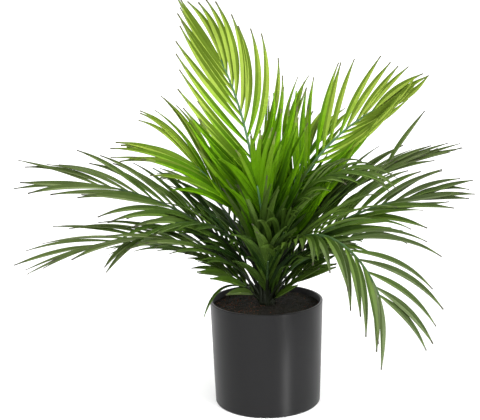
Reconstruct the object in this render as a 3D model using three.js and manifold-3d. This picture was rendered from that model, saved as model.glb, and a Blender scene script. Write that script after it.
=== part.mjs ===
// Artificial areca palm in a plain round pot, in millimetres with +Z up.
// The origin is the middle of the pot's flat underside, and the plant's front faces -Y.
import * as THREE from "three";
import { mergeVertices } from "three/addons/utils/BufferGeometryUtils.js";
import Module from "manifold-3d";

const wasm = await Module();
wasm.setup();

// Pot, a plain tapered plastic shell with a flat base
const potHeight = 121.5;
const potTopRadius = 65;
const potBaseRadius = 61;
const potWall = 3;
const potFloor = 4;
const potFootRound = 2;
const potRimBevel = 0.8;
const potSides = 48;

// Filling, which lies just under the rim, rises a little to the middle and is level round the stem
const fillingDrop = 6.5;
const fillingCrown = 1.5;
const fillingLevelRadius = 14;
const fillingShoulderRadius = 40;
const fillingShoulderShare = 0.6;

// Stem, a short stub from a flat cut on the filling up to where the fronds part
const stemFootRadius = 9;
const stemWaistRadius = 7.6;
const stemTopRadius = 7;
const stemHeight = 20;
const stemWaistShare = 0.35;
const stemSides = 20;

// Clearance between neighbouring pieces, and how near two points of one piece are the same point
const clearance = 0.3;
const mergeDistance = 1e-4;

// Ribs, three-sided, seated on the stem's side or a little way into its top face
const ribSteps = 24;
const ribStride = 3;
const ribBaseRadius = 2.2;
const ribTipRadius = 1.2;
const ribCornerTurns = [90, 210, 330];
const seatTopRadius = 4.4;
const seatTopDepth = 1;
const seatSideRadius = 8.2;

// Leaflets, with a narrow root inside the rib
const leafSteps = 8;
const leafRootWidth = 1.8;
const leafRootThickness = 0.6;
const leafThickness = 1.25;

// How leaflets vary from the foot of a rib to its tip, and by chance. Angles are in degrees,
// and places and lengths are shares of the rib's length or of the frond's longest leaflet.
const leafletRule = {
  crowding: 0.9, stagger: 0.014, strayPlace: 0.012, lastPlace: 0.995,
  spreadEasing: 1.3, straySpread: 5, strayLift: 10, strayCurl: 10,
  footLength: 0.78, footGrowth: 0.9, tipEasing: 1.2, shortest: 0.92, longest: 1.06,
  leastSag: -0.12, mostSag: 0.2, sagEasing: 1.5, straySweep: 0.1,
};

// Turns and lengths that are tried for a leaflet until it stays clear of everything
const leafletTurns = [0, 9, -9, 18, -18];
const leafletShares = [1, 0.82, 0.64];

// Finishes
const potFinish = { color: 0x343536, roughness: 0.42 };
const fillingFinish = { color: 0x2b211b, roughness: 0.95 };
const stemFinish = { color: 0x3a4426, roughness: 0.7 };
const leafRoughness = 0.55;
const youngGreen = 0x527e04;
const middleGreen = 0x445c16;
const oldGreen = 0x3e5616;

const fillingTop = potHeight - fillingDrop + fillingCrown;
const stemBottom = fillingTop + clearance;
const stemTop = stemBottom + stemHeight;

// What most fronds have in common. Angles are in degrees and lengths in millimetres.
// seatTurn and seatDrop say where the rib sits on the stem, and onTop puts it on the stem's top face.
// spreadBase and spreadTip are the angles between leaflet and rib, which tilt makes unequal on its two
// sides. sag is how much a leaflet hangs, sagTip the same at the rib's end, and tipLoss how much shorter
// the last leaflets are. stray is how much of the usual chance a frond's leaflets take, middleStep is
// where a blade is widest and bends, and lone is one more leaflet that stands away from the others.
const usualFrond = {
  seatTurn: 0, seatDrop: 4, onTop: false, bend: 1, roll: 0, sides: [1, -1], width: 7, middleStep: 4,
  spreadBase: 42, spreadTip: 12, tilt: 0, lift: 10, curl: 14, sweep: 0, sag: 0.3, tipLoss: 0.28,
  stray: 1, bare: 0.15, lone: null, green: oldGreen,
};

// The crown: tall young fronds, wide arching ones to both sides, short ones in front, the far side,
// and one leaflet that trails over the pot's rim
const crown = [
  { name: "frond_tall_left", azimuth: 140, rise: 89, droop: 31, bend: 1.75, length: 268, roll: -48,
    pairs: 14, leaf: 128, width: 7.8, spreadBase: 47, spreadTip: 13, tilt: -2, lift: 8, curl: 24, sweep: 0.22,
    sag: 0.05, tipLoss: 0.3, stray: 0.35, bare: 0.22, seed: 11, onTop: true, seatTurn: 12, green: youngGreen },
  { name: "frond_tall_right", azimuth: 20, rise: 88, droop: 66, length: 256, roll: 60,
    pairs: 16, leaf: 108, width: 7, spreadBase: 50, spreadTip: 14, curl: 26, sweep: 0.2,
    sag: 0, stray: 0.5, bare: 0.2, seed: 12, onTop: true, green: youngGreen },
  { name: "frond_young_left", azimuth: 172, rise: 84, droop: 44, length: 165, roll: -32,
    pairs: 10, leaf: 124, width: 8.2, spreadBase: 30, spreadTip: 16, tilt: 3, lift: 8, curl: 0,
    sweep: 0.1, sag: 0.5, stray: 0.5, bare: 0.57, seed: 13, onTop: true, seatTurn: 45, green: youngGreen },
  { name: "frond_front_left", azimuth: 250, rise: 85, droop: 12, length: 66, roll: -10,
    pairs: 7, leaf: 104, width: 8, spreadBase: 16, spreadTip: 6, lift: 8, curl: -10, sag: 0.2, bare: 0.08,
    seed: 33, seatTurn: 8 },
  { name: "frond_young_front", azimuth: 250, rise: 88, droop: 24, bend: 1.3, length: 128, roll: 55,
    pairs: 10, leaf: 92, width: 7.5, spreadBase: 20, lift: 12, curl: -6,
    bare: 0.24, seed: 31, onTop: true, seatTurn: 26, green: youngGreen },
  { name: "frond_young_back", azimuth: 38, rise: 89, droop: 26, bend: 1.5, length: 178,
    pairs: 9, leaf: 98, width: 7.5, spreadBase: 40, lift: 8, curl: 20, sag: 0.1,
    bare: 0.2, seed: 41, onTop: true, seatTurn: 52, green: youngGreen },
  { name: "frond_trailing_left", azimuth: 196, rise: 24, droop: 10, length: 26, sides: [1],
    pairs: 1, leaf: 84, width: 6, middleStep: 6, spreadBase: 10, lift: 0, curl: 0, sag: 2.4, bare: 0.85,
    seed: 51, seatDrop: 6, seatTurn: -38, green: middleGreen },
  { name: "frond_wide_left", azimuth: 190, rise: 74, droop: 62, bend: 0.65, length: 232, roll: -30,
    pairs: 13, leaf: 108, width: 7.4, spreadBase: 34, spreadTip: 14, lift: 7, curl: 10,
    sag: 0.75, sagTip: 0.15, tipLoss: 0.1, seed: 14 },
  { name: "frond_low_left", azimuth: 200, rise: 63, droop: 74, bend: 0.85, length: 214, roll: -12,
    pairs: 11, leaf: 112, spreadBase: 32, lift: 12, curl: 12,
    sag: 0.5, sagTip: 0.25, tipLoss: 0.2, seed: 15, seatDrop: 10, seatTurn: 8 },
  { name: "frond_hanging_left", azimuth: 202, rise: 84, droop: 118, bend: 1.05, length: 198, roll: -15,
    pairs: 8, leaf: 64, width: 6.5, spreadBase: 40, sag: 0.6, bare: 0.3, seed: 52,
    seatTurn: 22 },
  { name: "frond_foot_left", azimuth: 200, rise: 50, droop: 18, length: 54, roll: -30,
    pairs: 5, leaf: 68, width: 9, spreadBase: 44, spreadTip: 20, lift: 5, curl: 12, sag: 0.5, bare: 0.2,
    seed: 21, seatDrop: 15, green: middleGreen },
  { name: "frond_wide_right", azimuth: 12, rise: 84, droop: 72, bend: 0.65, length: 226, roll: 12,
    pairs: 13, leaf: 100, width: 7.2, spreadBase: 26, spreadTip: 10, sagTip: 0.1, seed: 16,
    lone: { along: 0.86, side: 1, spread: 42, lift: 80, length: 84, curl: 36, sag: 0, sweep: 0 } },
  { name: "frond_low_right", azimuth: 352, rise: 77, droop: 68, bend: 0.62, length: 208, roll: 40,
    pairs: 12, leaf: 96, sag: 0.65, sagTip: 0.2, seed: 17, seatDrop: 8, seatTurn: -6,
    green: middleGreen },
  { name: "frond_hanging_right", azimuth: 305, rise: 88, droop: 146, bend: 0.95, length: 245, roll: 20,
    pairs: 12, leaf: 110, spreadTip: 24, tilt: 12, lift: 5, curl: 0, sweep: -0.35, sag: 0.5,
    tipLoss: 0.32, stray: 0.4, bare: 0.2, seed: 18, seatDrop: 12, seatTurn: 14, green: middleGreen },
  { name: "frond_inner_right", azimuth: 345, rise: 80, droop: 85, bend: 2.2, length: 185, roll: 20,
    pairs: 11, leaf: 72, width: 6.5, spreadBase: 36, curl: 6, sag: 0.9, stray: 0.8, bare: 0.3, seed: 36,
    onTop: true, seatTurn: -25 },
  { name: "frond_foot_right", azimuth: 338, rise: 48, droop: 12, length: 54, roll: 30,
    pairs: 5, leaf: 68, width: 9, spreadBase: 40, spreadTip: 14, lift: 5, curl: 12,
    bare: 0.06, seed: 22, seatDrop: 15, seatTurn: 4, green: middleGreen },
  { name: "frond_front_right", azimuth: 308, rise: 84, droop: 28, length: 80, roll: 10,
    pairs: 7, leaf: 92, width: 7.5, spreadBase: 18, spreadTip: 6, lift: 8, curl: -26, sag: 0.5, bare: 0.08,
    seed: 32, seatTurn: -14 },
  { name: "frond_front_low", azimuth: 272, rise: 70, droop: 16, length: 54,
    pairs: 6, leaf: 86, width: 7.5, spreadBase: 18, spreadTip: 8, curl: -10, sag: 0.4, bare: 0.08,
    seed: 34, seatDrop: 9, seatTurn: 4 },
  { name: "frond_front_side", azimuth: 318, rise: 62, droop: 40, bend: 1.1, length: 98, roll: 12,
    pairs: 8, leaf: 76, width: 6, spreadBase: 22, spreadTip: 8, lift: 12, curl: 0, sag: 0.6, bare: 0.1,
    seed: 35, seatDrop: 15, seatTurn: -28 },
  { name: "frond_middle_back", azimuth: 52, rise: 78, droop: 46, bend: 1.1, length: 200,
    pairs: 8, leaf: 98, width: 7.5, lift: 8, curl: 20, sag: 0.2, seed: 47, seatTurn: 33,
    green: youngGreen },
  { name: "frond_back_right", azimuth: 60, rise: 66, droop: 64, length: 205,
    pairs: 10, leaf: 92, lift: 12, curl: 18, sag: 0.4, seed: 42, seatDrop: 6 },
  { name: "frond_back_left", azimuth: 125, rise: 66, droop: 64, length: 205,
    pairs: 9, leaf: 92, lift: 12, curl: 18, sag: 0.4, seed: 43, seatDrop: 6 },
  { name: "frond_back_middle", azimuth: 92, rise: 52, droop: 66, length: 200,
    pairs: 9, leaf: 92, lift: 12, curl: 18, sag: 0.5, seed: 44, seatDrop: 11 },
  { name: "frond_back_low_left", azimuth: 155, rise: 44, droop: 50, length: 160,
    pairs: 8, leaf: 84, lift: 12, curl: 18, sag: 0.5, seed: 45, seatDrop: 14, green: middleGreen },
  { name: "frond_back_low_right", azimuth: 32, rise: 46, droop: 52, length: 160,
    pairs: 8, leaf: 84, lift: 12, curl: 18, sag: 0.5, seed: 46, seatDrop: 14, green: middleGreen },
];

// A small repeatable number source, so the same plant grows every time
class Seeded {
  constructor(seed) {
    this.state = seed;
  }
  between(low, high) {
    this.state = (this.state * 1664525 + 1013904223) % 4294967296;
    return low + (high - low) * (this.state / 4294967296);
  }
}

const radians = THREE.MathUtils.degToRad;

function heading(azimuth, elevation) {
  const a = radians(azimuth);
  const e = radians(elevation);
  return new THREE.Vector3(Math.cos(a) * Math.cos(e), Math.sin(a) * Math.cos(e), Math.sin(e));
}

// The rib leaves its seat on the stem and bends over more and more along its length
function ribDirection(frond, along) {
  return heading(frond.azimuth, frond.rise - frond.droop * along ** frond.bend);
}

function ribLine(frond) {
  const seatRadius = frond.onTop ? seatTopRadius : seatSideRadius;
  const start = heading(frond.azimuth + frond.seatTurn, 0).multiplyScalar(seatRadius);
  start.z = stemTop - (frond.onTop ? seatTopDepth : frond.seatDrop);
  const points = [start];
  for (let step = 0; step < ribSteps; step++) {
    const reach = ribDirection(frond, (step + 0.5) / ribSteps).multiplyScalar(frond.length / ribSteps);
    points.push(points[step].clone().add(reach));
  }
  return points;
}

// Where a leaflet grows: the point on the rib, the rib's direction, the way across and the upper side
function ribFrame(frond, line, along) {
  const place = Math.min(Math.max(along, 0), 1) * ribSteps;
  const step = Math.min(Math.floor(place), ribSteps - 1);
  const point = line[step].clone().lerp(line[step + 1], place - step);
  const forward = ribDirection(frond, along);
  const level = heading(frond.azimuth + 90, 0);
  const above = forward.clone().cross(level);
  const roll = radians(frond.roll);
  const across = level.clone().multiplyScalar(Math.cos(roll)).addScaledVector(above, Math.sin(roll));
  const normal = above.clone().multiplyScalar(Math.cos(roll)).addScaledVector(level, -Math.sin(roll));
  return { point, forward, across, normal };
}

// The leaflets of one frond, in pairs from the bare foot of the rib to its tip
function leafletsOf(frond, line) {
  const rule = leafletRule;
  const chance = new Seeded(frond.seed);
  const leaflets = [];
  for (let pair = 0; pair < frond.pairs; pair++) {
    for (const side of frond.sides) {
      const rank = pair / Math.max(1, frond.pairs - 1);
      const stagger = rule.stagger * side + chance.between(-rule.strayPlace, rule.strayPlace);
      const place = frond.bare + (1 - frond.bare) * rank ** rule.crowding + stagger;
      const along = Math.min(place, rule.lastPlace);
      const narrowing = (frond.spreadTip - frond.spreadBase) * rank ** rule.spreadEasing;
      const middle = frond.spreadBase + narrowing + frond.tilt * side;
      const spread = middle + frond.stray * chance.between(-rule.straySpread, rule.straySpread);
      const lift = frond.lift + frond.stray * chance.between(-rule.strayLift, rule.strayLift);
      const foot = Math.min(1, rule.footLength + rule.footGrowth * rank);
      const end = 1 - frond.tipLoss * Math.max(0, 2 * rank - 1) ** rule.tipEasing;
      const length = frond.leaf * foot * end * chance.between(rule.shortest, rule.longest);
      const curl = frond.curl + frond.stray * chance.between(-rule.strayCurl, rule.strayCurl);
      const sagGrowth = ((frond.sagTip ?? frond.sag) - frond.sag) * rank;
      const sag = frond.sag + sagGrowth + frond.stray * chance.between(rule.leastSag, rule.mostSag);
      const sweep = frond.sweep + frond.stray * chance.between(-rule.straySweep, rule.straySweep);
      leaflets.push({ frame: ribFrame(frond, line, along), side, spread, lift, length, curl, sag, sweep });
    }
  }
  if (frond.lone) {
    leaflets.push({ frame: ribFrame(frond, line, frond.lone.along), ...frond.lone });
  }
  return leaflets;
}

// The middle line of a leaflet, which curls in towards the rib and sags under its weight
function leafletLine(leaflet, turn, share) {
  const { point, forward, across, normal } = leaflet.frame;
  const lift = radians(leaflet.lift + turn);
  const rise = Math.abs(Math.sin(radians(leaflet.spread))) * Math.sin(lift);
  const points = [point.clone()];
  for (let step = 0; step < leafSteps; step++) {
    const middle = (step + 0.5) / leafSteps;
    const angle = radians(leaflet.spread - leaflet.curl * middle);
    const direction = forward.clone().multiplyScalar(Math.cos(angle));
    direction.addScaledVector(across, leaflet.side * Math.sin(angle) * Math.cos(lift));
    direction.addScaledVector(normal, rise);
    direction.addScaledVector(across, leaflet.sweep * middle);
    direction.z -= leaflet.sag * middle ** leafletRule.sagEasing;
    direction.normalize().multiplyScalar(leaflet.length * share / leafSteps);
    points.push(points[step].clone().add(direction));
  }
  return points;
}

// Closed solid from its corners and its triangles, with the box round it
function solidFrom(corners, faces) {
  const vertProperties = new Float32Array(corners.flatMap((corner) => corner.toArray()));
  const mesh = new wasm.Mesh({ numProp: 3, vertProperties, triVerts: new Uint32Array(faces) });
  return { solid: new wasm.Manifold(mesh), box: new THREE.Box3().setFromPoints(corners) };
}

// Closed skin over rings of points that run counter-clockwise as seen from the far end
function skin(rings, tip) {
  const sides = rings[0].length;
  const points = rings.flat();
  const faces = [];
  for (let corner = 1; corner < sides - 1; corner++) {
    faces.push(0, corner + 1, corner);
  }
  for (let ring = 0; ring + 1 < rings.length; ring++) {
    for (let corner = 0; corner < sides; corner++) {
      const here = ring * sides + corner;
      const next = ring * sides + (corner + 1) % sides;
      faces.push(here, next, next + sides, here, next + sides, here + sides);
    }
  }
  const last = (rings.length - 1) * sides;
  if (tip) {
    points.push(tip);
    for (let corner = 0; corner < sides; corner++) {
      faces.push(last + corner, last + (corner + 1) % sides, points.length - 1);
    }
  } else {
    for (let corner = 1; corner < sides - 1; corner++) {
      faces.push(last, last + corner, last + corner + 1);
    }
  }
  return solidFrom(points, faces);
}

// Three-sided rib, thinner towards its tip. swell makes it that much fatter all round.
function ribSolid(frond, line, swell) {
  const rings = [];
  for (let step = 0; step <= ribSteps; step += ribStride) {
    const along = step / ribSteps;
    const { forward, across, normal } = ribFrame(frond, line, along);
    const radius = THREE.MathUtils.lerp(ribBaseRadius, ribTipRadius, along) + swell;
    const middle = line[step].clone().addScaledVector(forward, step === ribSteps ? swell : 0);
    rings.push(ribCornerTurns.map((turn) => middle.clone()
      .addScaledVector(across, radius * Math.cos(radians(turn)))
      .addScaledVector(normal, radius * Math.sin(radians(turn)))));
  }
  return skin(rings);
}

// Blade of a leaflet: two edges and a keel under its fold, from a root inside the rib to a point
function bladeSolid(leaflet, frond, line, swell) {
  const normal = leaflet.frame.normal;
  const stations = [
    { step: 0, width: leafRootWidth, thickness: leafRootThickness },
    { step: frond.middleStep, width: frond.width, thickness: leafThickness },
  ];
  const rings = stations.map(({ step, width, thickness }) => {
    const forward = line[step + 1].clone().sub(line[Math.max(step - 1, 0)]).normalize();
    const across = normal.clone().cross(forward).normalize();
    const below = across.clone().cross(forward).normalize();
    const half = width / 2 + swell;
    const lifted = line[step].clone().addScaledVector(below, -swell);
    return [
      lifted.clone().addScaledVector(across, half),
      lifted.clone().addScaledVector(across, -half),
      lifted.clone().addScaledVector(below, thickness + 2 * swell),
    ];
  });
  const end = line[leafSteps].clone().sub(line[leafSteps - 1]).normalize();
  return skin(rings, line[leafSteps].clone().addScaledVector(end, swell));
}

// Pieces made so far, which a new leaflet must stay clear of
const placed = [];

function clearOfOthers(piece, owner) {
  return placed.every((other) => {
    if (other.owner === owner || !other.box.intersectsBox(piece.box)) {
      return true;
    }
    return piece.solid.intersect(other.solid).getMesh().triVerts.length === 0;
  });
}

// A turned solid from its [radius, height] outline, with the points on the axis and the seam joined
function latheSolid(profile, sides) {
  const outline = profile.map(([radius, height]) => new THREE.Vector2(radius, height));
  const turned = new THREE.LatheGeometry(outline, sides).rotateX(Math.PI / 2);
  turned.deleteAttribute("normal");
  turned.deleteAttribute("uv");
  const merged = mergeVertices(turned, mergeDistance);
  const position = merged.getAttribute("position");
  const corners = [];
  for (let index = 0; index < position.count; index++) {
    corners.push(new THREE.Vector3().fromBufferAttribute(position, index));
  }
  const order = merged.getIndex().array;
  const faces = [];
  for (let face = 0; face < order.length; face += 3) {
    const triangle = order.slice(face, face + 3);
    if (new Set(triangle).size === 3) {
      faces.push(...triangle);
    }
  }
  return solidFrom(corners, faces);
}

function geometryOf(solid) {
  const { vertProperties, triVerts } = solid.getMesh();
  const geometry = new THREE.BufferGeometry();
  geometry.setAttribute("position", new THREE.BufferAttribute(vertProperties, 3));
  geometry.setIndex(new THREE.BufferAttribute(triVerts, 1));
  geometry.computeVertexNormals();
  return geometry;
}

const group = new THREE.Group();

function addPart(name, solid, finish) {
  const mesh = new THREE.Mesh(geometryOf(solid), new THREE.MeshStandardMaterial({ ...finish, metalness: 0 }));
  mesh.name = name;
  group.add(mesh);
}

function potOuterRadius(height) {
  return THREE.MathUtils.lerp(potBaseRadius, potTopRadius, height / potHeight);
}

// Pot
const potFootTurn = potFootRound * (1 - Math.SQRT1_2);
const potProfile = [
  [0, 0],
  [potBaseRadius - potFootRound, 0],
  [potBaseRadius - potFootTurn, potFootTurn],
  [potOuterRadius(potFootRound), potFootRound],
  [potTopRadius, potHeight - potRimBevel],
  [potTopRadius - potRimBevel, potHeight],
  [potTopRadius - potWall + potRimBevel, potHeight],
  [potTopRadius - potWall, potHeight - potRimBevel],
  [potOuterRadius(potFloor) - potWall, potFloor],
  [0, potFloor],
];
const pot = latheSolid(potProfile, potSides);
placed.push({ ...pot, owner: "pot" });
addPart("pot", pot.solid, potFinish);

// Filling
function fillingRadius(height) {
  return potOuterRadius(height) - potWall - clearance;
}
const fillingEdge = potHeight - fillingDrop;
const fillingProfile = [
  [0, potFloor],
  [fillingRadius(potFloor), potFloor],
  [fillingRadius(fillingEdge), fillingEdge],
  [fillingShoulderRadius, fillingEdge + fillingCrown * fillingShoulderShare],
  [fillingLevelRadius, fillingTop],
  [0, fillingTop],
];
const filling = latheSolid(fillingProfile, potSides);
placed.push({ ...filling, owner: "filling" });
addPart("filling", filling.solid, fillingFinish);

// Stem, and the same stub grown by the clearance, which the ribs are cut by
function stemProfile(growth) {
  return [
    [0, stemBottom - growth],
    [stemFootRadius + growth, stemBottom - growth],
    [stemWaistRadius + growth, stemBottom + stemHeight * stemWaistShare],
    [stemTopRadius + growth, stemTop + growth],
    [0, stemTop + growth],
  ];
}
const stem = latheSolid(stemProfile(0), stemSides);
const stemSpace = latheSolid(stemProfile(clearance), stemSides);
placed.push({ ...stemSpace, owner: "stem" });
addPart("stem", stem.solid, stemFinish);

// One leaflet, turned or shortened where it would touch something, or none where nothing helps
function growLeaflet(frond, leaflet) {
  for (const share of leafletShares) {
    for (const turn of leafletTurns) {
      const line = leafletLine(leaflet, turn, share);
      const fat = bladeSolid(leaflet, frond, line, clearance / 2);
      if (clearOfOthers(fat, frond.name)) {
        placed.push({ ...fat, owner: frond.name });
        return bladeSolid(leaflet, frond, line, 0).solid;
      }
    }
  }
  return null;
}

// Fronds: all ribs first, so that every leaflet stays clear of them
const fronds = crown.map((entry) => ({ ...usualFrond, ...entry }));
for (const frond of fronds) {
  frond.line = ribLine(frond);
  placed.push({ ...ribSolid(frond, frond.line, clearance / 2), owner: frond.name });
}
for (const frond of fronds) {
  let solid = ribSolid(frond, frond.line, 0).solid.subtract(stemSpace.solid);
  for (const leaflet of leafletsOf(frond, frond.line)) {
    const blade = growLeaflet(frond, leaflet);
    if (blade) {
      solid = solid.add(blade);
    }
  }
  addPart(frond.name, solid, { color: frond.green, roughness: leafRoughness });
}

export default group;
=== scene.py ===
"""An artificial areca palm in a plain round pot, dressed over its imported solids.

The pot, its filling, the stem and every frond are made here again in finer form, in the place of the
solids and by the same growing rule. The crown's table is in millimetres and degrees, as the rule is.
All settings and meshes are in metres.
"""

import math

import bpy
from bpy.props import FloatProperty, FloatVectorProperty, IntProperty, PointerProperty
from mathutils import Matrix, Vector, noise


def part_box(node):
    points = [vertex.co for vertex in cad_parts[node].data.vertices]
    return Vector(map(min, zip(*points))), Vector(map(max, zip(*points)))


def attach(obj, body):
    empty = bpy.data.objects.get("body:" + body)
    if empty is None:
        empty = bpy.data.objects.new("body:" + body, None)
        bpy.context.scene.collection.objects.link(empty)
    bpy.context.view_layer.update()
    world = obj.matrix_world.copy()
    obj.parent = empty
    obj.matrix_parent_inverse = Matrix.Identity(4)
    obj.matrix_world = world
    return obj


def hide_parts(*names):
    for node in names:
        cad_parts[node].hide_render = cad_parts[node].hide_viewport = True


bl_info = {
    "name": "Potted areca palm",
    "version": (1, 0, 0),
    "blender": (4, 5, 0),
    "location": "3D View > Sidebar > Palm",
    "description": "Builds the looks of an artificial areca palm around its packed solids",
    "category": "Add Mesh",
}

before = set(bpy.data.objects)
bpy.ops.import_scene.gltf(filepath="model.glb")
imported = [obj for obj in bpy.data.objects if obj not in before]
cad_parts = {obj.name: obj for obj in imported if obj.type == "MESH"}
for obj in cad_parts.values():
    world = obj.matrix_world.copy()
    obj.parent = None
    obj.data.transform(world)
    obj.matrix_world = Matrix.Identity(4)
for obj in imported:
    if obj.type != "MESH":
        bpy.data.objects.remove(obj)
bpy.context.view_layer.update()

MM = 0.001
pot_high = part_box("pot")[1]
stem_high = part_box("stem")[1]
filling_low, filling_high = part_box("filling")


def srgb(red, green, blue):
    """Linear colour from the 0 to 255 values of a colour picker."""
    linear = []
    for share in (red / 255, green / 255, blue / 255):
        linear.append(share / 12.92 if share <= 0.04045 else ((share + 0.055) / 1.055) ** 2.4)
    return tuple(linear)


# The growing rule of the crown, the same as the solids'

# Where ribs sit on the stem
SEAT_TOP_RADIUS = 4.4
SEAT_TOP_DEPTH = 1
SEAT_SIDE_RADIUS = 8.2
RIB_STEPS = 24

# Powers with which leaflets stand closer, spread less and get shorter towards a rib's tip
CROWDING = 0.9
NARROWING = 1.3
TIP_LOSS_CURVE = 1.2
# Length of a rib's lowest leaflets as a share of the full one, and how fast it grows from there
LOWEST_LENGTH = 0.78
LENGTH_GAIN = 0.9
# How far each leaflet stands from its pair's place, and the outermost place, as shares of the rib
STAGGER = 0.014
LAST_PLACE = 0.995
# Power with which a leaflet's sag grows along it
SAG_CURVE = 1.5

# How far luck changes each leaflet
STAGGER_LUCK = 0.012
SPREAD_LUCK = 5
LIFT_LUCK = 10
CURL_LUCK = 10
SWEEP_LUCK = 0.1
SAG_LUCK = (-0.12, 0.2)
LENGTH_LUCK = (0.92, 1.06)

# What most fronds have. rise is a rib's slope at its foot, droop how far it bends over from there, and
# bare the share of it without leaflets. stray is how far luck counts, paler lifts the blades' tones of
# painted shade, and leaflets on the plain side have no grey tips.
USUAL_FROND = dict(
    seat_turn=0, seat_drop=4, on_top=False, bend=1, roll=0, sides=(1, -1), width=7,
    spread_base=42, spread_tip=12, tilt=0, lift=10, curl=14, sweep=0, sag=0.3, sag_tip=None, tip_loss=0.28,
    stray=1, bare=0.15, lone=None, age="old", paler=0, plain_side=0,
)

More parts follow.
